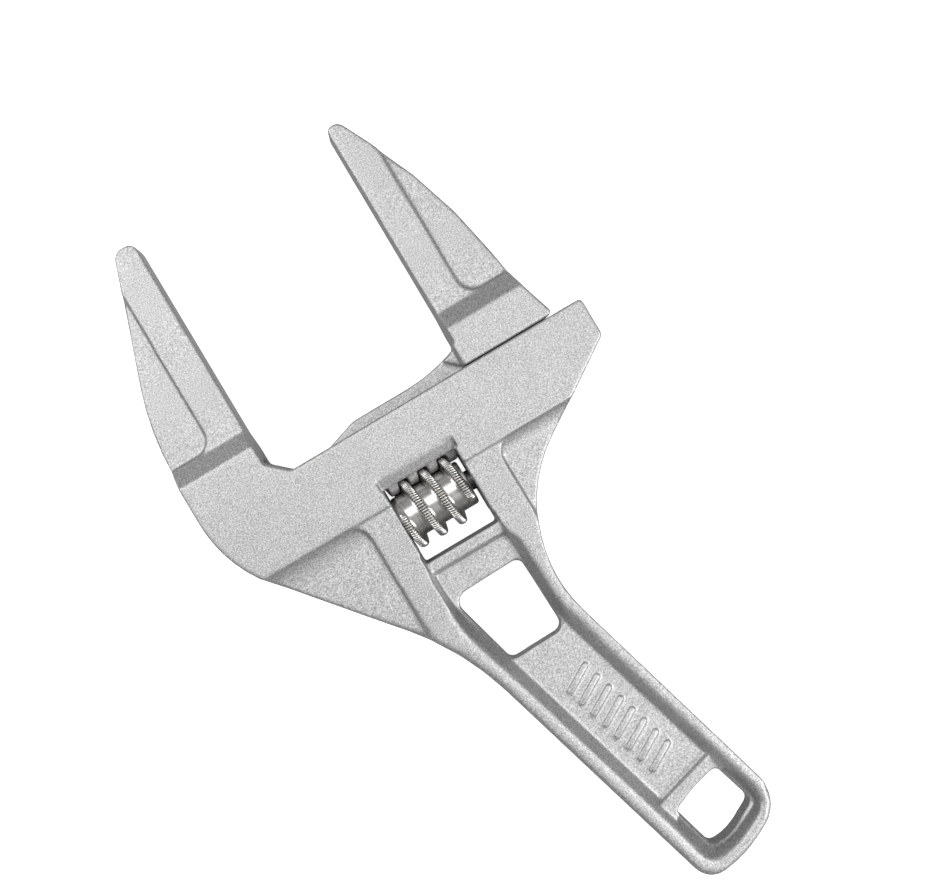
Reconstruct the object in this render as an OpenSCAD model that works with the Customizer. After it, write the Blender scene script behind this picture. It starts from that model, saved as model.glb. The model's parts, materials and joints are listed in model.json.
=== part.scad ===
// Adjustable plumbing wrench with long smooth jaws, cast in aluminium.
// It is drawn lying flat: the jaws point along +Y and the sliding jaw travels along X.
// All outlines are drawn about the foot of the fixed jaw: x = 0 is its gripping face,
// y = 0 is the top of the rail that the sliding jaw runs on, and z = 0 is the middle of the
// thickness. placed() then moves everything so that the origin is under the middle of the
// wrench, on the surface that it lies on.

/* [Jaws] */
// Gap between the jaw faces as drawn
opening = 53.5; // [48:0.5:58]
// Height of the fixed jaw's tip above the rail
jaw_h = 66.8; // [64:0.2:70]
// Thickness of the blades at their root
blade_t = 10; // [9:0.5:11]
// Thickness of the blades at their tip
tip_t = 8.8; // [8:0.2:9]
// Width of the raised strip beside each gripping face
strip_w = 8.7; // [8:0.1:9.5]
// Depth of the step down from the strip to the outer part of a blade
strip_step = 0.8; // [0.4:0.1:1.2]

/* [Head] */
// Thickness of the head
head_t = 17; // [16.8:0.1:18]
// Length of the rail from the fixed jaw's face
rail_l = 84.8; // [83:0.2:88]
// Depth of the head's thick band below the rail
band_h = 19.2; // [19:0.1:19.5]
// Thickness left in the two open pockets under the band
pocket_t = 11.6; // [11:0.2:13]
// Thickness of the ribs where they leave the band
rib_t = 15.6; // [15:0.1:16]

/* [Handle] */
// Lean of the handle away from the jaws' direction
grip_lean = 15.9; // [15.5:0.1:16.3]
// Thickness of the rims round the handle
rim_t = 12.4; // [12:0.2:13]
// Thickness of the web between the rims
web_t = 5; // [4:0.5:6]
// Thickness of the cross bar above the hanging hole
bar_t = 8.4; // [8:0.2:9]

/* [Worm and rack] */
// Pitch of the worm and of the rack
pitch = 5.4; // [5.3:0.05:5.5]
// Radius over the worm's thread
crest_r = 8.45; // [8.2:0.05:8.45]
// Radius of the worm's core
core_r = 5.8; // [5:0.1:5.8]
// Radius of the pin that the worm turns on
pin_r = 2; // [1.8:0.1:2.1]
// Gap all round between the worm and its pin
pin_gap = 0.05; // [0.02:0.01:0.1]
// Radius of the sliding jaw's round bar
bar_r = 5.55; // [5.4:0.05:5.6]
// Gap all round between the sliding jaw and the body
slide_gap = 0.25; // [0.15:0.05:0.3]

/* [Hidden] */
$fn = 64;
arc_step = 6;        // largest turn, in degrees, between two points of a rounded corner
far = 150;           // longer than anything that it cuts

// Places in the head
bar_y = -12.4;       // axis of the round bar and its channel
web_half = 3;        // half thickness of the sliding jaw's web
ceiling_y = 5.6;     // top of the slot where it passes under the fixed jaw
window = [21, 41];   // the worm window's walls
window_low = -35.8;
window_top = -15.45;
slope_y = -12.3;     // top of the slope in front of the rack
slope_z = 6.5;       // half thickness at the foot of that slope
worm_x = [21.1, 39.7];
worm_y = -24;
thread_x = 25.83;    // where the thread's crest passes the top of the worm
thread_tip_w = 1.9;
thread_root_w = 2.75;
pin_x = [15.6, 54.4, 57.2];  // blind end, head's underside, head's top
pin_fit = 0.02;              // gap all round between the pin and the body
head_r = 2.6;
slot_w = 0.8;
spring_x = [39.75, 40.95];
spring_r = [2.1, 2.6];

// Places on the jaws
ramp_y = [9.5, 14.1];        // foot and top of the slope from head to blade
strip_y = 14.3;              // where the outer part of a blade starts
lip = 0.65;                  // how far the sliding jaw's base stands in front of its face
rack_root_y = -15.35;
tooth_gap = 3.04;            // gap between two rack teeth at their tips
tooth_gap_root = 2.6;
first_gap = ceil((opening - 42.5 - thread_x) / pitch);
last_gap = floor((opening + 25 - thread_x) / pitch);
rack_x = [
    thread_x + (first_gap - 1) * pitch + tooth_gap / 2,
    thread_x + (last_gap + 1) * pitch - tooth_gap / 2
];

function unit(v) = v / norm(v);

// The points of one rounded corner at b, between neighbours a and c
function corner(a, b, c, r, fixed) =
    let (u = unit(a - b), w = unit(c - b), half = acos(u * w) / 2)
    r == 0 ? [b] :
    let (
        t = r / tan(half),
        mid = b + unit(u + w) * r / sin(half),
        from = b + u * t - mid,
        turn = (half * 2 - 180) * sign(u.x * w.y - u.y * w.x),
        steps = fixed > 0 ? fixed : max(1, ceil(abs(turn) / arc_step))
    )
    [for (i = [0:steps]) let (q = turn * i / steps)
        mid + [from.x * cos(q) - from.y * sin(q), from.x * sin(q) + from.y * cos(q)]];

// An outline from its corners, each [x, y, radius], with a fixed number of steps if given
function rounded(k, fixed = 0) =
    let (n = len(k), p = [for (q = k) [q.x, q.y]])
    [for (i = [0:n - 1]) each corner(p[(i + n - 1) % n], p[i], p[(i + 1) % n], k[i][2], fixed)];

// A corner given on the handle: across from its middle line, and along from its start
grip_start = [37.1, -75.9];
function grip(across, along, r) = [
    grip_start.x + across * cos(grip_lean) + along * sin(grip_lean),
    grip_start.y + across * sin(grip_lean) - along * cos(grip_lean),
    r
];

body_outline = rounded([
    [rail_l, 0, 1],
    [rail_l, -10.1, 1],
    [40.7, -39.3, 35.6],
    grip(13.2, 57.5, 9),
    grip(-2.5, 60.4, 30),
    grip(-13.5, 58.8, 5.5),
    [17.9, -58.2, 66],
    [-20.45, -11.7, 33],
    [-20.45, 24.8, 66],
    [-5.4, jaw_h, 3],
    [0, jaw_h, 2.4],
    [0, 4.6, 1],
    [5, 0, 0.8],
]);

// The sliding jaw's outline, from its gripping face and from the rail
jaw_outline = rounded([
    [opening - lip, slide_gap, 0.3],
    [opening - lip, 5.6, 0.2],
    [opening, 6.2, 0.2],
    [opening, jaw_h - 0.4, 1.6],
    [opening + 3.5, jaw_h - 0.4, 2.6],
    [opening + 16.4, 40.5, 127],
    [opening + 21.1, 9.3, 25],
    [opening + 24, slide_gap, 1],
]);

// The sliding jaw's web: a plate that rises above the rail and runs up into the jaw
web_outline = rounded([
    [rack_x[0], bar_y, 0],
    [rack_x[0], -1.1, 1],
    [opening - 30.2, 2.75, 5],
    [opening - 9, 2.75, 40],
    [opening + 2, 6.1, 0],
    [opening + 20, 2, 0],
    [opening + 20, -0.6, 0],
    [rack_x[1], -0.6, 1],
    [rack_x[1], bar_y, 0],
]);

// The bar's right end is cut off on a slope, so that it stays behind the head's lower edge
bar_end = [
    [opening + 18, bar_y - bar_r - 0.7], [opening + 25.2, -13.4],
    [opening + 30, -13.4], [opening + 30, bar_y - bar_r - 0.7],
];

// Where the web thickens into the jaw's base, clear of the fixed jaw's foot when closed
gusset = [
    [opening - 4.3, 3.9], [opening - 1.3, 1.1], [opening + 3, 1.1],
    [opening + 3, 6], [opening - 0.6, 5.2],
];

// The parts of each jaw at full height: all of it but the lowered outer part of the blade
body_strip = rounded([
    [-strip_w, far, 0], [-strip_w, strip_y, 4.5], [-far, strip_y, 0],
    [-far, -far, 0], [far, -far, 0], [far, far, 0],
]);
jaw_strip = rounded([
    [opening + strip_w - 0.2, far, 0], [opening + strip_w - 0.2, strip_y + slide_gap, 4.5],
    [far, strip_y + slide_gap, 0], [far, -far, 0], [-far, -far, 0], [-far, far, 0],
]);

// The hole between the ribs and the hanging hole
rib_hole = rounded([[21.9, -46.6, 3], [41.1, -46, 2.2], [41.7, -66.2, 2.2], [27, -66.6, 2]]);
hang_hole = rounded([
    grip(-6.6, 41.4, 1.5), grip(0.4, 40.6, 30), grip(7.7, 40.9, 1.5),
    grip(7.8, 53.4, 2), grip(-1.2, 55.3, 15), grip(-6.7, 54.3, 2),
]);

// The hollow between the rims, at the rims' level and at the web's
hollow_mouth = [
    [41.3, -38.4, 0.5], [20.5, -38.4, 0.5], [20.4, -53.5, 50],
    grip(-10.1, 56.4, 4.5), grip(-1.5, 57.2, 25), grip(10.2, 55.2, 5.5), [43.6, -61.6, 40],
];
hollow_floor = [
    [41.2, -39.3, 0.5], [21.1, -39.3, 0.5], [21.1, -46.8, 25],
    grip(-7.2, 54.6, 2.5), grip(-1.2, 55.8, 15), grip(8.7, 54.2, 2.5), [42.1, -62.5, 12],
];

// The open pockets under the band, and how far down from their tops their floors curve
pocket_top = -19.3;
pocket_curve = 5.5;
left_pocket = [[-40, -58, 0], [12.9, -58, 0], [12.9, pocket_top, 4.5], [-40, pocket_top, 0]];
right_pocket = [[99, pocket_top, 0], [49.6, pocket_top, 4.5], [49.6, -47, 0], [99, -47, 0]];

// Where the origin goes: under the middle of the whole wrench
all_points = concat(body_outline, jaw_outline);
low = [min([for (p = all_points) p.x]), min([for (p = all_points) p.y])];
high = [max([for (p = all_points) p.x]), max([for (p = all_points) p.y])];
middle = (low + high) / 2;

module placed() {
    translate([-middle.x, -middle.y, head_t / 2]) children();
}

// Something on the front face, and the same on the back
module both_faces() {
    children();
    mirror([0, 0, 1]) children();
}

// A cylinder along X, from x0 to x1
module rod(r, x0, x1, y) {
    translate([x0, y, 0]) rotate([0, 90, 0]) cylinder(r = r, h = x1 - x0);
}

// An outline through the thickness, from -half to half
module plate(outline, half) {
    linear_extrude(height = 2 * half, center = true) polygon(outline);
}

// An outline as a solid whose half thickness follows a list of [y, half thickness]
module slab(outline, halves) {
    n = len(halves);
    intersection() {
        plate(outline, head_t);
        rotate([90, 0, 90]) linear_extrude(height = 2 * far, center = true) polygon(concat(
            halves,
            [for (i = [n - 1:-1:0]) [halves[i].x, -halves[i].y]]
        ));
    }
}

// A drafted hollow: the floor's corners hold at z_floor and the mouth's at z_mouth, and its
// walls go on above that, out of the casting
module hollow(mouth, floor_corners, z_mouth, z_floor) {
    a = rounded(floor_corners, 6);
    b = rounded(mouth, 6);
    n = len(a);
    grow = (head_t - z_floor) / (z_mouth - z_floor);
    polyhedron(
        points = concat(
            [for (p = a) [p.x, p.y, z_floor]],
            [for (i = [0:n - 1]) let (p = a[i] + (b[i] - a[i]) * grow) [p.x, p.y, head_t]]
        ),
        faces = concat(
            [[for (i = [0:n - 1]) i]],
            [[for (i = [n - 1:-1:0]) n + i]],
            [for (i = [0:n - 1]) [(i + 1) % n, i, n + i, n + (i + 1) % n]]
        )
    );
}

// An open pocket in the front face, whose floor curves up to the band
module pocket(outline) {
    top = rib_t / 2 + 0.1;
    depth = top - pocket_t / 2;
    r = (pow(pocket_curve, 2) + pow(depth, 2)) / (2 * depth);
    turn = asin(pocket_curve / r);
    steps = 8;
    intersection() {
        plate(rounded(outline), head_t);
        rotate([90, 0, 90]) linear_extrude(height = 2 * far, center = true) polygon(concat(
            [[-far, head_t], [-far, pocket_t / 2]],
            [for (i = [0:steps]) let (q = turn * i / steps)
                [pocket_top - pocket_curve + r * sin(q), pocket_t / 2 + r * (1 - cos(q))]],
            [[pocket_top, head_t]]
        ));
    }
}

module blade_and_base(outline, strip, foot_y, base_low) {
    intersection() {
        slab(outline, [
            [base_low, head_t / 2], [ramp_y[0] + foot_y, head_t / 2],
            [ramp_y[1] + foot_y, blade_t / 2], [jaw_h + 1, tip_t / 2],
        ]);
        plate(strip, far);
    }
    slab(outline, [
        [ramp_y[0] + foot_y, blade_t / 2 - strip_step], [jaw_h + 1, tip_t / 2 - strip_step],
    ]);
}

module channel() {
    rod(bar_r + slide_gap, -far, far, bar_y);
    slot_half = web_half + slide_gap;
    translate([-far, bar_y, -slot_half]) cube([2 * far, ceiling_y - bar_y, 2 * slot_half]);
}

module worm_window() {
    translate([window[0], window_low, -head_t])
        cube([window[1] - window[0], window_top - window_low, 2 * head_t]);
    slope = [
        [window_top - 0.1, slope_z], [slope_y, head_t / 2], [slope_y, head_t], [window_top - 0.1, head_t],
    ];
    both_faces() translate([window[0] - 0.5, 0, 0])
        rotate([90, 0, 90]) linear_extrude(height = window[1] - window[0] + 1.2) polygon(slope);
}

module pin_hole() {
    rod(pin_r + pin_fit, pin_x[0], rail_l, worm_y);
    rod(head_r + pin_fit, pin_x[1], rail_l, worm_y);
}

// A row of slanted raised bars on the handle's web
module grip_bars() {
    count = 8;
    spacing = 3.9;
    long = 8.4;
    wide = 1.3;
    top = web_t / 2 + 0.4;
    for (i = [0:count - 1]) {
        at = grip(0.4, 2.6 + i * spacing, 0);
        translate([at.x, at.y, 0]) rotate(grip_lean + 14) {
            translate([-(long - wide) / 2, -wide / 2, 0]) cube([long - wide, wide, top]);
            for (side = [-1, 1]) translate([side * (long - wide) / 2, 0, 0])
                cylinder(r = wide / 2, h = top, $fn = 24);
        }
    }
}

module ribs_and_handle() {
    lip_half = 5.2;
    difference() {
        slab(body_outline, [
            [-far, rim_t / 2], [-75, rim_t / 2], [-46, rib_t / 2 - 0.6],
            [-band_h - 0.6, rib_t / 2], [-10, rib_t / 2],
        ]);
        both_faces() {
            pocket(left_pocket);
            pocket(right_pocket);
            hollow(hollow_mouth, hollow_floor, rim_t / 2, web_t / 2);
            translate([window[0] - 0.4, -39, lip_half])
                cube([window[1] - window[0] + 0.8, 6, head_t]);
        }
    }
    both_faces() grip_bars();
    cross = [grip(-9, 37.6, 0), grip(9.6, 37.6, 0), grip(9.6, 43, 0), grip(-9, 43, 0)];
    plate([for (p = cross) [p.x, p.y]], bar_t / 2);
}

module wrench_body() {
    color("silver") placed() difference() {
        union() {
            blade_and_base(body_outline, body_strip, 0, -band_h);
            ribs_and_handle();
        }
        channel();
        worm_window();
        pin_hole();
        plate(rib_hole, head_t);
        plate(hang_hole, head_t);
    }
}

// One gap between two rack teeth, leaning with the worm's thread
module rack_gap() {
    lean = atan(pitch / (2 * PI * (crest_r - 0.85)));
    rotate([0, lean, 0]) linear_extrude(height = 4 * bar_r, center = true) polygon([
        [-tooth_gap / 2, bar_y - bar_r - 1], [tooth_gap / 2, bar_y - bar_r - 1],
        [tooth_gap / 2, bar_y - bar_r], [tooth_gap_root / 2, rack_root_y],
        [-tooth_gap_root / 2, rack_root_y], [-tooth_gap / 2, bar_y - bar_r],
    ]);
}

module sliding_jaw() {
    color("lightgray") placed() difference() {
        union() {
            blade_and_base(jaw_outline, jaw_strip, slide_gap, 0);
            plate(web_outline, web_half);
            plate(gusset, web_half + 1.2);
            rod(bar_r, rack_x[0], rack_x[1], bar_y);
        }
        for (k = [first_gap:last_gap]) translate([thread_x + k * pitch, 0, 0]) rack_gap();
        plate(bar_end, head_t);
    }
}

// The thread: a ridge wound round the worm, which fades out at both ends
thread_from = -320;
thread_to = 885;
thread_fade = 70;
thread_step = 15;
function faded(q) = max(0.05, min(1, (q - thread_from) / thread_fade, (thread_to - q) / thread_fade));
module thread() {
    turns = [for (q = [thread_from:thread_step:thread_to]) q];
    n = len(turns);
    points = [for (q = turns) let (
        f = faded(q), x = thread_x + pitch * q / 360,
        inner = core_r - 0.3, outer = core_r + (crest_r - core_r) * f
    ) each [for (c = [[-thread_root_w, inner], [-thread_tip_w, outer],
                      [thread_tip_w, outer], [thread_root_w, inner]])
        [x + c.x / 2 * f, c.y * cos(q), c.y * sin(q)]]];
    polyhedron(points = points, faces = concat(
        [[3, 2, 1, 0]],
        [[for (j = [0:3]) 4 * (n - 1) + j]],
        [for (i = [0:n - 2], j = [0:3]) let (k = (j + 1) % 4)
            [4 * i + j, 4 * i + k, 4 * i + 4 + k, 4 * i + 4 + j]]
    ));
}

module worm_screw() {
    color("gainsboro") placed() difference() {
        union() {
            rod(core_r, worm_x[0], worm_x[1], worm_y);
            intersection() {
                translate([0, worm_y, 0]) thread();
                rod(crest_r + 1, worm_x[0], worm_x[1], worm_y);
            }
        }
        rod(pin_r + pin_gap, worm_x[0] - 1, worm_x[1] + 1, worm_y);
    }
}

module worm_pin() {
    color("dimgray") placed() difference() {
        union() {
            rod(pin_r, pin_x[0], pin_x[1], worm_y);
            rod(head_r, pin_x[1], pin_x[2], worm_y);
        }
        translate([pin_x[2] - 0.9, worm_y - slot_w / 2, -head_r]) cube([1, slot_w, 2 * head_r]);
    }
}

// The compression spring, as the ring of space that its coils fill
module worm_spring() {
    color("darkslategray") placed() difference() {
        rod(spring_r[1], spring_x[0], spring_x[1], worm_y);
        rod(spring_r[0], spring_x[0] - 1, spring_x[1] + 1, worm_y);
    }
}

wrench_body();
sliding_jaw();
worm_screw();
worm_pin();
worm_spring();
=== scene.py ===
"""Adjustable plumbing wrench: two grit-blasted aluminium castings, a bright knurled worm, its pin
and its spring, lying on a pale floor in soft light."""
import json
import math

import bpy
import numpy as np
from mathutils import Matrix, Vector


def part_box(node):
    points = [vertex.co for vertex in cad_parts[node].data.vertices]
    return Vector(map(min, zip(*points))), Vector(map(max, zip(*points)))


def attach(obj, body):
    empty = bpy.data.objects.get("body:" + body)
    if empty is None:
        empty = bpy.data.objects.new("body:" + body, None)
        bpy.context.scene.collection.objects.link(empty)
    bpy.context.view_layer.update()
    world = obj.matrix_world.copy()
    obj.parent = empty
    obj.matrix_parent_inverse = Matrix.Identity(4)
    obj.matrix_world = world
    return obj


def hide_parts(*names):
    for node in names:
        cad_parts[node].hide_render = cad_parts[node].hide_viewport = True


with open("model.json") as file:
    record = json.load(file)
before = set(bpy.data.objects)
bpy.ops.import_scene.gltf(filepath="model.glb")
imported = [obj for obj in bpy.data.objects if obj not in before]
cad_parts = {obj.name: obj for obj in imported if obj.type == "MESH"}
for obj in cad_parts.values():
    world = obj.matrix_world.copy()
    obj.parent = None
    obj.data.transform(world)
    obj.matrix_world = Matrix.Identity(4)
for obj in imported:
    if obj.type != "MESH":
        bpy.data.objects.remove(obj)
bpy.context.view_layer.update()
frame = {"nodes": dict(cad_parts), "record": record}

MM = 0.001
record = frame["record"]
behaviour = record["behaviour"]
mount = {m["name"]: np.array(m["pos_m"]) for m in record["mounts"]}
joint = {j["name"]: j for j in behaviour["joints"]}

# Places that the frame gives
WORM_LOW, WORM_HIGH = (np.array(c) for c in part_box("worm_screw"))
SPRING_LOW, SPRING_HIGH = (np.array(c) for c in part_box("worm_spring"))
WORM_AXIS = np.array(joint["worm_spin"]["pos_m"])
MID_Z = WORM_AXIS[2]
FACE_X = mount["fixed_jaw_face"][0]
PITCH = 2 * math.pi / abs(behaviour["couplings"][0]["ratio"])

# The rail's top, and the handle's middle line: where it starts and how it leans
RAIL_Y = WORM_AXIS[1] + 24 * MM
HANDLE_START = (FACE_X + 37.1 * MM, RAIL_Y - 75.9 * MM)
HANDLE_LEAN = math.radians(15.9)

# Castings: the size of a voxel, and the share of the faces that is kept
VOXEL = 0.3 * MM
BODY_KEEP = 0.36
JAW_KEEP = 0.6

# How many times each part of the body's casting is relaxed
EDGE_PASSES = 8
LEFT_RIM_PASSES = 45
RIGHT_RIM_PASSES = 75
STEM_PASSES = 16
HANDLE_END_PASSES = 60
WEB_PASSES = 6
WINDOW_PASSES = 2
LEDGE_PASSES = 40

# Where those parts are. Down and x are drawn() mm, across and along are on_grip() mm, and
# height is mm from the mid plane. A pair is where a ramp starts and ends.
HANDLE_DOWN = (40, 58)
RIM_HEIGHT = (2.7, 3.6)
LEFT_RIM_ACROSS = (-9, -8)
RIGHT_RIM_ACROSS = (8.4, 12.6)
RIGHT_RIM_DOWN = (60, 66)
STEM_X = (41.3, 46)
STEM_Y = (-66, -42)
HANDLE_END_ALONG = (54, 56)
WEB_ACROSS = (-6.3, 8.3)
WEB_HEIGHT = (2.9, 3.4)
WINDOW_X = (20, 42.2)
WINDOW_Y = (-36.2, -11.6)
LEDGE_X = (21.5, 40.5)
LEDGE_Y = (-12.9, -11.4)

# The jaw's passes, and the rack's, which lies below this ramp
JAW_PASSES = 9
RACK_PASSES = 1.5
RACK_Y = (-9, -6)

# The row of bars on the handle's web
BAR_COUNT = 8
BAR_SPACING = 3.9
BAR_FIRST_ALONG = 2.6
BAR_ACROSS = 0.4
BAR_HALF_STRAIGHT = 3.55
BAR_TILT = HANDLE_LEAN + math.radians(14)
BAR_RINGS = [(1.0, -0.4), (0.95, 0.05), (0.62, 0.55), (0.45, 0.62)]     # half width, height
WEB_Z = MID_Z + 2.5 * MM

# The worm
CORE_RADIUS = 5.8 * MM
CREST_RADIUS = (WORM_HIGH[1] - WORM_LOW[1]) / 2
BORE_RADIUS = 2.05 * MM
CHAMFER = 0.35 * MM
TIP_HALF = 0.95 * MM                    # half the thread's width at its crest
ROOT_HALF = 1.4 * MM                    # and at its foot
THREAD_X = WORM_LOW[0] + 4.73 * MM      # where the thread passes the top of the worm
THREAD_FROM = -320                      # degrees along the thread to its two ends
THREAD_TO = 885
THREAD_RUN_OUT = 70
KNURL_DEPTH = 0.4 * MM
KNURL_COUNT = 74
WORM_ROWS = 8 * KNURL_COUNT
WORM_TURNS = range(-3, 5)               # turns of the thread that the mesh's columns cover

# The spring
WIRE_RADIUS = 0.24 * MM
SPRING_TURNS = 2.6
SPRING_STEPS = 110
WIRE_SIDES = 10

# The floor, and the patch of deep shade on it, as mm from the fixed jaw's face and the rail
FLOOR_HALF = 3
SHADE_X = (22.4, 38.2)
SHADE_Y = (-19.4, -10)
SHADE_Z = 0.02 * MM


# ---- meshes -------------------------------------------------------------------------------

def new_object(name, mesh):
    obj = bpy.data.objects.new(name, mesh)
    bpy.context.scene.collection.objects.link(obj)
    return obj


def new_piece(name, points, faces, body, replaces=()):
    """A mesh piece that rides on a body and stands for CAD nodes."""
    mesh = bpy.data.meshes.new(name)
    mesh.from_pydata(points.tolist(), [], faces)
    mesh.validate()
    piece = new_object(name, mesh)
    finish_piece(piece, body, replaces)
    return piece


def finish_piece(piece, body, replaces):
    piece.data.shade_smooth()
    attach(piece, body)
    for node in replaces:
        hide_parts(node)


def sharpen(piece, degrees):
    """Leaves the edges that turn by more than this angle sharp."""
    piece.data.shade_smooth()
    piece.data.set_sharp_from_angle(angle=math.radians(degrees))


def run_modifier(obj, kind, **settings):
    """Adds a modifier, applies it and leaves its result as the object's mesh."""
    modifier = obj.modifiers.new(kind, kind)
    for key, value in settings.items():
        setattr(modifier, key, value)
    graph = bpy.context.evaluated_depsgraph_get()
    mesh = bpy.data.meshes.new_from_object(obj.evaluated_get(graph))
    obj.modifiers.clear()
    old = obj.data
    obj.data = mesh
    bpy.data.meshes.remove(old)


def coords(mesh):
    out = np.empty(len(mesh.vertices) * 3)
    mesh.vertices.foreach_get("co", out)
    return out.reshape(-1, 3)


def relax(mesh, passes):
    """Rounds a mesh: each vertex moves half way to the middle of its neighbours, as often as
    passes says for it, so that it rounds more where passes is larger."""
    points = coords(mesh)
    ends = np.empty(len(mesh.edges) * 2, dtype=np.int64)
    mesh.edges.foreach_get("vertices", ends)
    a, b = ends.reshape(-1, 2).T
    count = np.bincount(np.concatenate([a, b]), minlength=len(points))[:, None]
    for step in range(int(passes.max())):
        weight = np.clip(passes - step, 0, 1)[:, None] * 0.5
        total = np.stack([
            np.bincount(a, points[b, k], len(points)) + np.bincount(b, points[a, k], len(points))
            for k in range(3)], axis=1)
        points += (total / count - points) * weight
    mesh.vertices.foreach_set("co", points.ravel())
    mesh.update()


def casting(node, name, body, passes_at, keep):
    """A cast piece made from its CAD node: remeshed evenly, its edges rounded, then thinned."""
    mesh = frame["nodes"][node].data.copy()
    mesh.materials.clear()
    piece = new_object(name, mesh)
    run_modifier(piece, "REMESH", mode="VOXEL", voxel_size=VOXEL)
    relax(piece.data, passes_at(coords(piece.data)))
    run_modifier(piece, "DECIMATE", ratio=keep)
    finish_piece(piece, body, [node])
    return piece


def ramp(value, start, end):
    """0 up to start and 1 from end, smooth between."""
    t = np.clip((value - start) / (end - start), 0, 1)
    return t * t * (3 - 2 * t)


def between(value, low, high, soft):
    """1 from low to high and 0 elsewhere, with soft edges."""
    return ramp(value, low - soft, low) * (1 - ramp(value, high, high + soft))


def drawn(p):
    """Points as mm from the fixed jaw's face, from the rail's top and from the mid plane."""
    return (p - [FACE_X, RAIL_Y, MID_Z]).T / MM


def on_grip(p):
    """How far points are across the handle's middle line and along it from its start, in mm."""
    x = (p[:, 0] - HANDLE_START[0]) / MM
    y = (p[:, 1] - HANDLE_START[1]) / MM
    c, s = math.cos(HANDLE_LEAN), math.sin(HANDLE_LEAN)
    return x * c + y * s, x * s - y * c


def body_passes(p):
    """How much each part of the body's casting is rounded: its rims most, its window least."""
    x, y, z = drawn(p)
    across, along = on_grip(p)
    height = np.abs(z)
    on_handle = ramp(-y, *HANDLE_DOWN)
    left = (1 - ramp(across, *LEFT_RIM_ACROSS)) * on_handle
    right = between(across, *RIGHT_RIM_ACROSS, 0.8) * ramp(-y, *RIGHT_RIM_DOWN)
    stem = between(x, *STEM_X, 0.8) * between(y, *STEM_Y, 4)
    end = ramp(along, *HANDLE_END_ALONG)
    rims = np.maximum.reduce([left * LEFT_RIM_PASSES, right * RIGHT_RIM_PASSES,
                              stem * STEM_PASSES, end * HANDLE_END_PASSES])
    passes = EDGE_PASSES + ramp(height, *RIM_HEIGHT) * rims
    web = on_handle * between(across, *WEB_ACROSS, 0.4) * (1 - ramp(height, *WEB_HEIGHT))
    passes = passes * (1 - web) + WEB_PASSES * web
    window = between(x, *WINDOW_X, 0.5) * between(y, *WINDOW_Y, 0.5)
    passes = passes * (1 - window) + WINDOW_PASSES * window
    return passes + LEDGE_PASSES * between(y, *LEDGE_Y, 0.6) * between(x, *LEDGE_X, 0.6)


def jaw_passes(p):
    """The jaw is rounded like the body, and its rack is left nearly sharp."""
    x, y, z = drawn(p)
    rack = 1 - ramp(y, *RACK_Y)
    return JAW_PASSES * (1 - rack) + RACK_PASSES * rack


def stadium(half_long, half_wide, steps=8):
    """The outline of a bar with round ends, as points about its middle, in mm."""
    turns = [math.pi * (i / steps - 0.5) for i in range(steps + 1)]
    right = [(half_long + half_wide * math.cos(q), half_wide * math.sin(q)) for q in turns]
    return right + [(-x, -y) for x, y in right]


def bar_faces(start, around):
    """The sides, top and bottom of a bar whose rings of points begin at start."""
    faces = []
    for ring in range(len(BAR_RINGS) - 1):
        low = start + ring * around
        high = low + around
        for k in range(around):
            m = (k + 1) % around
            faces.append((low + k, low + m, high + m, high + k))
    top = start + (len(BAR_RINGS) - 1) * around
    faces.append(tuple(top + k for k in range(around)))
    faces.append(tuple(start + k for k in reversed(range(around))))
    return faces


def build_bars():
    """The row of slanted raised bars on the front of the handle's web, with steep sides."""
    c, s = math.cos(BAR_TILT), math.sin(BAR_TILT)
    lean_c, lean_s = math.cos(HANDLE_LEAN), math.sin(HANDLE_LEAN)
    points, faces = [], []
    for bar in range(BAR_COUNT):
        along = BAR_FIRST_ALONG + bar * BAR_SPACING
        mid_x = HANDLE_START[0] + (BAR_ACROSS * lean_c + along * lean_s) * MM
        mid_y = HANDLE_START[1] + (BAR_ACROSS * lean_s - along * lean_c) * MM
        start = len(points)
        for half_wide, height in BAR_RINGS:
            for x, y in stadium(BAR_HALF_STRAIGHT, half_wide):
                points.append((mid_x + (x * c - y * s) * MM,
                               mid_y + (x * s + y * c) * MM,
                               WEB_Z + height * MM))
        faces += bar_faces(start, (len(points) - start) // len(BAR_RINGS))
    piece = new_piece("handle_bars", np.array(points), faces, "frame")
    sharpen(piece, 60)
    return piece


def worm_radius(x, angle):
    """The worm's outer radius at x and at an angle in degrees from the top, about +X, and
    how deep in the knurl that point is, from 0 to 1."""
    turn = np.round((x - THREAD_X) / PITCH - angle / 360)
    along = angle + 360 * turn
    to_end = np.minimum(along - THREAD_FROM, THREAD_TO - along)
    fade = np.clip(to_end / THREAD_RUN_OUT, 0, 1)
    off = np.abs(x - THREAD_X - PITCH * along / 360)
    side = np.clip((ROOT_HALF - off) / (ROOT_HALF - TIP_HALF), 0, 1)
    side = side * side * (3 - 2 * side) * 0.35 + side * 0.65
    knurl = (0.5 + 0.5 * np.cos(np.radians(angle) * KNURL_COUNT)) ** 0.6
    crown = 1 - np.clip(off / TIP_HALF, 0, 1) ** 2
    cut = KNURL_DEPTH * (1 - knurl) * ramp(side, 0.8, 1.0) * ramp(fade, 0.5, 0.9)
    top = (CREST_RADIUS - CORE_RADIUS) * fade * side * (0.88 + 0.12 * crown)
    return CORE_RADIUS + top - cut, cut / KNURL_DEPTH


def thread_columns():
    """Where the mesh's columns lie within one turn of the thread, from its middle."""
    tip = [TIP_HALF * f for f in (-1, -0.8, -0.4, 0, 0.4, 0.8, 1)]
    flank = [TIP_HALF + (ROOT_HALF - TIP_HALF) * f for f in (0.1, 0.35, 0.7)]
    flank += [ROOT_HALF, ROOT_HALF + 0.06 * MM]
    return [-c for c in reversed(flank)] + tip + flank + [PITCH * 0.5]


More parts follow.
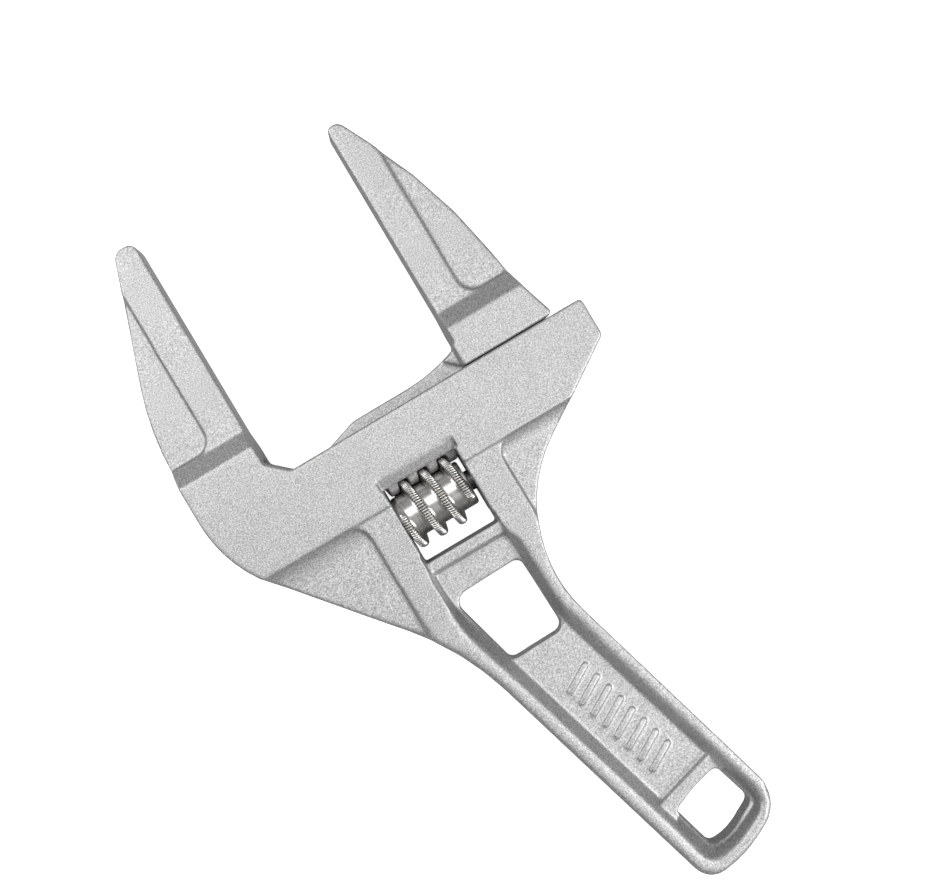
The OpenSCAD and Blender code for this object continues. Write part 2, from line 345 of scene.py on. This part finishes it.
def worm_side_faces(columns, per_turn):
    """Quads between the rows. The last row meets the first one a turn of thread further on."""
    faces = []
    for i in range(WORM_ROWS):
        k = (i + 1) % WORM_ROWS
        shift = per_turn if k == 0 else 0
        for j in range(columns - 1):
            m = j + shift
            if m + 1 < columns:
                faces.append((i * columns + j, i * columns + j + 1,
                              k * columns + m + 1, k * columns + m))
    return faces


def worm_end_faces(columns, low_bore, high_bore):
    """The two flat ends and the bore, between rings of points that begin at these numbers."""
    faces = []
    last = columns - 1
    for i in range(WORM_ROWS):
        k = (i + 1) % WORM_ROWS
        faces.append((low_bore + i, low_bore + k, k * columns, i * columns))
        faces.append((i * columns + last, k * columns + last, high_bore + k, high_bore + i))
        faces.append((low_bore + i, low_bore + k, high_bore + k, high_bore + i))
    return faces


def build_worm():
    """The worm as rows of points round its axis, its columns leaning with the thread."""
    column = thread_columns()
    base = np.array([THREAD_X + PITCH * k + c for k in WORM_TURNS for c in column])
    angle = np.arange(WORM_ROWS)[:, None] * 360 / WORM_ROWS
    x = np.clip(base[None, :] + PITCH * angle / 360, WORM_LOW[0], WORM_HIGH[0])
    radius, groove = worm_radius(x, angle + 0 * x)
    from_end = np.minimum(x - WORM_LOW[0], WORM_HIGH[0] - x)
    radius = radius - np.clip(CHAMFER - from_end, 0, 1)
    cos, sin = np.cos(np.radians(angle)), np.sin(np.radians(angle))
    outer = np.stack([x, WORM_AXIS[1] + radius * cos, WORM_AXIS[2] + radius * sin], axis=2)
    rings = [outer.reshape(-1, 3)]
    for x_end in (WORM_LOW[0], WORM_HIGH[0]):
        rings.append(np.hstack([
            np.full((WORM_ROWS, 1), x_end),
            WORM_AXIS[1] + BORE_RADIUS * cos,
            WORM_AXIS[2] + BORE_RADIUS * sin]))
    points = np.vstack(rings)
    faces = worm_side_faces(len(base), len(column))
    faces += worm_end_faces(len(base), groove.size, groove.size + WORM_ROWS)
    piece = new_piece("worm_knurled", points, faces, "worm", ["worm_screw"])
    # The groove attribute says how deep each point lies in the knurl; the worm's colour uses it
    # for painted shade in the grooves.
    grooves = np.zeros(len(points))
    grooves[:groove.size] = groove.ravel()
    piece.data.attributes.new("groove", "FLOAT", "POINT").data.foreach_set("value", grooves)
    run_modifier(piece, "WELD", merge_threshold=0.002 * MM)
    sharpen(piece, 50)
    return piece


def build_spring():
    """A short compression spring: a round wire in close turns."""
    radius = SPRING_HIGH[1] - WORM_AXIS[1] - WIRE_RADIUS
    length = SPRING_HIGH[0] - SPRING_LOW[0] - 2 * WIRE_RADIUS
    points, faces = [], []
    for i in range(SPRING_STEPS + 1):
        f = i / SPRING_STEPS
        q = 2 * math.pi * SPRING_TURNS * f
        out = np.array([0, math.cos(q), math.sin(q)])
        x = SPRING_LOW[0] + WIRE_RADIUS + length * f
        centre = WORM_AXIS * [0, 1, 1] + [x, 0, 0] + out * radius
        for k in range(WIRE_SIDES):
            s = 2 * math.pi * k / WIRE_SIDES
            round_wire = math.cos(s) * out + math.sin(s) * np.array([1, 0, 0])
            points.append(centre + WIRE_RADIUS * round_wire)
    for i in range(SPRING_STEPS):
        here, there = i * WIRE_SIDES, (i + 1) * WIRE_SIDES
        for k in range(WIRE_SIDES):
            m = (k + 1) % WIRE_SIDES
            faces.append((here + k, there + k, there + m, here + m))
    last = SPRING_STEPS * WIRE_SIDES
    faces.append(tuple(range(WIRE_SIDES)))
    faces.append(tuple(last + k for k in reversed(range(WIRE_SIDES))))
    return new_piece("worm_spring_coil", np.array(points), faces, "frame",
                     ["worm_spring"])


wrench = casting("wrench_body", "wrench_body_casting", "frame",
                 body_passes, BODY_KEEP)
jaw = casting("sliding_jaw", "sliding_jaw_casting", "jaw", jaw_passes, JAW_KEEP)
bars = build_bars()
worm = build_worm()
spring = build_spring()


# ---- materials ----------------------------------------------------------------------------

def material(name):
    """A new node material and a short way to add nodes to it."""
    mat = bpy.data.materials.new(name)
    mat.use_nodes = True
    tree = mat.node_tree
    shader = tree.nodes["Principled BSDF"]

    def add(kind, links=(), **values):
        node = tree.nodes.new(kind)
        for key, value in values.items():
            if key.startswith("in_"):
                node.inputs[key[3:].replace("_", " ")].default_value = value
            else:
                setattr(node, key, value)
        for socket, source in links:
            tree.links.new(source, node.inputs[socket])
        return node
    return mat, tree, shader, add


def two_tones(node, low, low_colour, high, high_colour):
    """Sets a colour ramp's two stops."""
    first, second = node.color_ramp.elements
    first.position = low
    first.color = (*low_colour, 1)
    second.position = high
    second.color = (*high_colour, 1)


def finish_metal(tree, shader, colour, rough, bump):
    tree.links.new(colour, shader.inputs["Base Color"])
    tree.links.new(rough.outputs[0], shader.inputs["Roughness"])
    tree.links.new(bump.outputs[0], shader.inputs["Normal"])
    shader.inputs["Metallic"].default_value = 1.0


def cast_aluminium(name, tone):
    """Grit-blasted aluminium: a light grey skin with a fine pitted grain and faint clouds."""
    mat, tree, shader, add = material(name)
    place = add("ShaderNodeTexCoord").outputs["Object"]
    grain = add("ShaderNodeTexNoise", [("Vector", place)], in_Scale=3600, in_Detail=2)
    pits = add("ShaderNodeTexVoronoi", [("Vector", place)], in_Scale=2300)
    cloud = add("ShaderNodeTexNoise", [("Vector", place)], in_Scale=90, in_Detail=4)
    height = add("ShaderNodeMath", [(0, grain.outputs["Fac"]), (1, pits.outputs["Distance"])],
                 operation="MULTIPLY_ADD")
    height.inputs[2].default_value = 0.25
    shades = add("ShaderNodeValToRGB", [("Fac", grain.outputs["Fac"])])
    two_tones(shades, 0.3, [tone * 0.5] * 3, 0.7, [tone * 1.43] * 3)
    clouds = add("ShaderNodeMapRange", [("Value", cloud.outputs["Fac"])],
                 in_To_Min=0.93, in_To_Max=1.05)
    tinted = add("ShaderNodeVectorMath", [(0, shades.outputs["Color"]), (1, clouds.outputs[0])],
                 operation="MULTIPLY")
    rough = add("ShaderNodeMapRange", [("Value", grain.outputs["Fac"])],
                in_To_Min=0.48, in_To_Max=0.64)
    bump = add("ShaderNodeBump", [("Height", height.outputs[0])], in_Strength=0.35,
               in_Distance=0.0001)
    finish_metal(tree, shader, tinted.outputs[0], rough, bump)
    return mat


def bright_steel(name, tone, low, high):
    """Plated or turned steel with a fine drawn grain round the X axis, roughness from low to
    high, and painted shade: darker where a mesh's groove attribute says so."""
    mat, tree, shader, add = material(name)
    place = add("ShaderNodeTexCoord").outputs["Object"]
    stretch = add("ShaderNodeMapping", [("Vector", place)])
    stretch.inputs["Scale"].default_value = (3000, 250, 250)
    lines = add("ShaderNodeTexNoise", [("Vector", stretch.outputs[0])], in_Scale=1, in_Detail=3)
    stain = add("ShaderNodeTexNoise", [("Vector", place)], in_Scale=350, in_Detail=4)
    groove = add("ShaderNodeAttribute", attribute_name="groove").outputs["Fac"]
    rough = add("ShaderNodeMapRange", [("Value", lines.outputs["Fac"])],
                in_To_Min=low, in_To_Max=high)
    shades = add("ShaderNodeValToRGB", [("Fac", stain.outputs["Fac"])])
    two_tones(shades, 0.35, (tone * 0.86, tone * 0.85, tone * 0.83),
              0.7, (tone, tone * 0.99, tone * 0.97))
    bump = add("ShaderNodeBump", [("Height", lines.outputs["Fac"])], in_Strength=0.12,
               in_Distance=0.00005)
    # Painted shade: the colour goes dark towards the bottom of the knurl's grooves, where shade
    # falls.
    painted_groove_shade = add("ShaderNodeMix", [("Factor", groove), (6, shades.outputs[0])], data_type="RGBA")
    painted_groove_shade.inputs[7].default_value = (tone * 0.25, tone * 0.24, tone * 0.23, 1)
    finish_metal(tree, shader, painted_groove_shade.outputs[2], rough, bump)
    return mat


def paint(obj, mat):
    obj.data.materials.clear()
    obj.data.materials.append(mat)


body_aluminium = cast_aluminium("body_aluminium", 0.6)
paint(wrench, body_aluminium)
paint(bars, body_aluminium)
paint(jaw, cast_aluminium("jaw_aluminium", 0.6))
paint(worm, bright_steel("worm_plate", 0.8, 0.2, 0.4))
paint(spring, bright_steel("spring_wire", 0.25, 0.3, 0.5))
pin_steel = bright_steel("pin_steel_grain", 0.45, 0.25, 0.45)
for material_slot in frame["nodes"]["worm_pin"].material_slots:
    material_slot.material = pin_steel


# ---- floor, light and camera --------------------------------------------------------------

def flat_stage(name, x0, y0, x1, y1, z):
    """A flat rectangle that isn't part of the object."""
    mesh = bpy.data.meshes.new(name)
    mesh.from_pydata([(x0, y0, z), (x1, y0, z), (x1, y1, z), (x0, y1, z)], [], [(0, 1, 2, 3)])
    obj = new_object(name, mesh)
    return obj


def plain_floor():
    """A white floor that lights the wrench from below only a little, as a light table would."""
    floor = flat_stage("floor", -FLOOR_HALF, -FLOOR_HALF, FLOOR_HALF, FLOOR_HALF, 0)
    mat, tree, shader, add = material("floor_white")
    shader.inputs["Base Color"].default_value = (0.9, 0.9, 0.9, 1)
    shader.inputs["Roughness"].default_value = 0.9
    shader.inputs["Specular IOR Level"].default_value = 0.1
    shader.inputs["Emission Color"].default_value = (1, 1, 1, 1)
    shader.inputs["Emission Strength"].default_value = 0.95
    dim = add("ShaderNodeBsdfDiffuse", in_Color=(0.45, 0.45, 0.45, 1))
    seen = add("ShaderNodeLightPath").outputs["Is Camera Ray"]
    mix = add("ShaderNodeMixShader", [(0, seen), (1, dim.outputs[0]), (2, shader.outputs[0])])
    tree.links.new(mix.outputs[0], tree.nodes["Material Output"].inputs["Surface"])
    paint(floor, mat)


def floor_shade():
    """The deep shade on the floor under the thin gap between the rack and the worm."""
    x0, x1 = (FACE_X + x * MM for x in SHADE_X)
    y0, y1 = (RAIL_Y + y * MM for y in SHADE_Y)
    shade = flat_stage("floor_shade", x0, y0, x1, y1, SHADE_Z)
    mat, tree, shader, add = material("shade_grey")
    shader.inputs["Base Color"].default_value = (0.03, 0.03, 0.03, 1)
    shader.inputs["Roughness"].default_value = 1
    paint(shade, mat)


def soft_lamp(name, where, size, power):
    """A round area lamp that points at the middle of the floor."""
    data = bpy.data.lights.new(name, "AREA")
    data.shape = "DISK"
    data.size = size
    data.energy = power
    lamp = new_object(name, data)
    lamp.location = where
    to = -np.array(where)
    yaw = math.atan2(to[1], to[0])
    tilt = math.acos(-to[2] / np.linalg.norm(to))
    lamp.rotation_euler = (0, -tilt, yaw)


def pale_world(seen, light):
    """A plain world that is nearly white where the camera sees it, and lights the rest dimly."""
    world = bpy.data.worlds.new("studio")
    world.use_nodes = True
    tree = world.node_tree
    sky = tree.nodes["Background"]
    sky.inputs["Color"].default_value = (1, 1, 1, 1)
    path = tree.nodes.new("ShaderNodeLightPath")
    strength = tree.nodes.new("ShaderNodeMapRange")
    strength.inputs["To Min"].default_value = light
    strength.inputs["To Max"].default_value = seen
    tree.links.new(path.outputs["Is Camera Ray"], strength.inputs["Value"])
    tree.links.new(strength.outputs["Result"], sky.inputs["Strength"])
    bpy.context.scene.world = world


def camera():
    """Straight down on the wrench, close enough to see the near walls of the jaws."""
    data = bpy.data.cameras.new("camera")
    data.sensor_width = 36
    data.lens = 47.8
    data.shift_x = 0.064
    data.shift_y = 0.0135
    data.clip_start = 0.01
    cam = new_object("camera", data)
    cam.location = (FACE_X + 29.3 * MM, RAIL_Y - 11.6 * MM, MID_Z + 0.3)
    cam.rotation_euler = (0, 0, math.radians(-30.8))
    bpy.context.scene.camera = cam


plain_floor()
floor_shade()
soft_lamp("overhead", (0.05, 0.45, 1.4), 0.9, 5)
soft_lamp("upper_left", (-0.9, 0.9, 1.4), 0.9, 12)
soft_lamp("lower_right", (0.9, -0.9, 1.4), 0.9, 20)
pale_world(0.9, 0.18)
camera()
view = bpy.context.scene.view_settings
view.view_transform = "Standard"
view.look = "None"
view.exposure = 0.0
